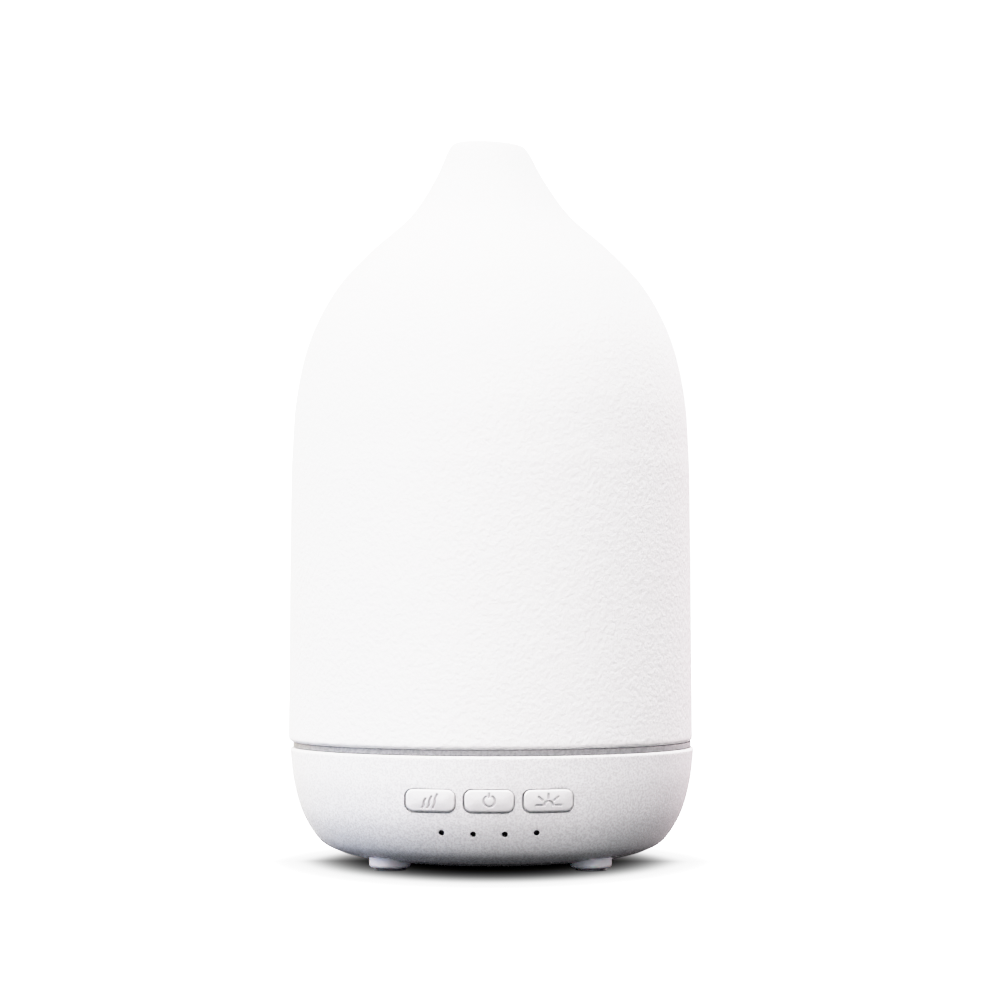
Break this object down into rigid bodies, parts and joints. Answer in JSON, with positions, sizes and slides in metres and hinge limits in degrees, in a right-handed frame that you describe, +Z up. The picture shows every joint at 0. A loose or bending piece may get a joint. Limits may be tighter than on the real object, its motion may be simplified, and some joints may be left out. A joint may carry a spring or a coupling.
{
  "type": "essential oil diffuser",
  "caption": "Ultrasonic essential oil diffuser: a lift-off ceramic cover with a mist spout on a round footed base with keys, a water tank, a fan and a mist disc.",
  "frame": {"origin": "centre of the plane that the feet rest on, under the mist spout", "axes": "+Z up along the round body's axis, -Y out of the front where the keys are, +X to the right for a person facing the keys"},
  "size_m": [0.096, 0.096, 0.171],
  "materials": {
    "ceramic": "unglazed, fine stone-like stipple",
    "base_plastic": "fine matte grain",
    "key_plastic": "satin",
    "ring_plastic": "frosted",
    "frosted_plastic": "frosted, lets light through",
    "foot_silicone": "soft matte",
    "silicone": "soft matte",
    "black_plastic": "matte",
    "nylon": "matte",
    "circuit_board": "solder mask",
    "steel": "plated",
    "aluminium": "stamped",
    "brass": "plain",
    "copper": "enamelled wire",
    "can_sleeve": "shrink sleeve",
    "red_wire": "insulation",
    "black_wire": "insulation",
    "led": "clear lens over phosphor"
  },
  "bodies": {
    "base": {"base_shell": "base_plastic", "tank_housing": "frosted_plastic", "light_ring": "ring_plastic", "housing_seal": "silicone", "foot_front_left": "foot_silicone", "foot_front_right": "foot_silicone", "foot_rear_left": "foot_silicone", "foot_rear_right": "foot_silicone", "housing_screw_front_left": "steel", "housing_screw_front_right": "steel", "housing_screw_rear_left": "steel", "housing_screw_rear_right": "steel", "switch_board": "circuit_board", "mist_switch": "black_plastic", "power_switch": "black_plastic", "light_switch": "black_plastic", "indicator_block": "black_plastic", "indicator_led_1": "led", "indicator_led_2": "led", "indicator_led_3": "led", "indicator_led_4": "led", "piezo_disc": "brass", "piezo_seal": "silicone", "piezo_clamp": "aluminium", "piezo_screw_rear": "steel", "piezo_screw_front": "steel", "fan_frame": "black_plastic", "fan_stator": "copper", "fan_screw_rear": "steel", "fan_screw_front": "steel", "main_board": "circuit_board", "board_screw_1": "steel", "board_screw_2": "steel", "dc_jack": "black_plastic", "inductor": "copper", "capacitor": "can_sleeve", "driver_transistor": "black_plastic", "heat_sink": "aluminium", "controller_chip": "black_plastic", "fan_plug": "nylon", "piezo_plug": "nylon", "fan_lead": "black_wire", "piezo_lead_red": "red_wire", "piezo_lead_black": "black_wire", "switch_ribbon": "black_wire", "light_ribbon": "black_wire", "led_ring_board": "circuit_board", "ring_led_1": "led", "ring_led_2": "led", "ring_led_3": "led"},
    "lid": {"inner_lid": "frosted_plastic"},
    "cover": {"ceramic_cover": "ceramic"},
    "mist_button": {"mist_key": "key_plastic", "mist_plunger": "nylon"},
    "power_button": {"power_key": "key_plastic", "power_plunger": "nylon"},
    "light_button": {"light_key": "key_plastic", "light_plunger": "nylon"},
    "fan": {"fan_rotor": "black_plastic"}
  },
  "joints": [
    {"name": "lid_lift", "type": "slide", "parent": "base", "child": "lid", "axis": [0, 0, 1], "range_m": [0, 0.07]},
    {"name": "cover_lift", "type": "slide", "parent": "lid", "child": "cover", "axis": [0, 0, 1], "range_m": [0, 0.135]},
    {"name": "mist_press", "type": "slide", "parent": "base", "child": "mist_button", "axis": [0, 1, 0], "range_m": [0, 0.0005]},
    {"name": "power_press", "type": "slide", "parent": "base", "child": "power_button", "axis": [0, 1, 0], "range_m": [0, 0.0005]},
    {"name": "light_press", "type": "slide", "parent": "base", "child": "light_button", "axis": [0, 1, 0], "range_m": [0, 0.0005]},
    {"name": "fan_spin", "type": "hinge", "parent": "base", "child": "fan", "pos_m": [-0.018, 0, 0.0096], "axis": [0, 0, 1], "continuous": true}
  ]
}
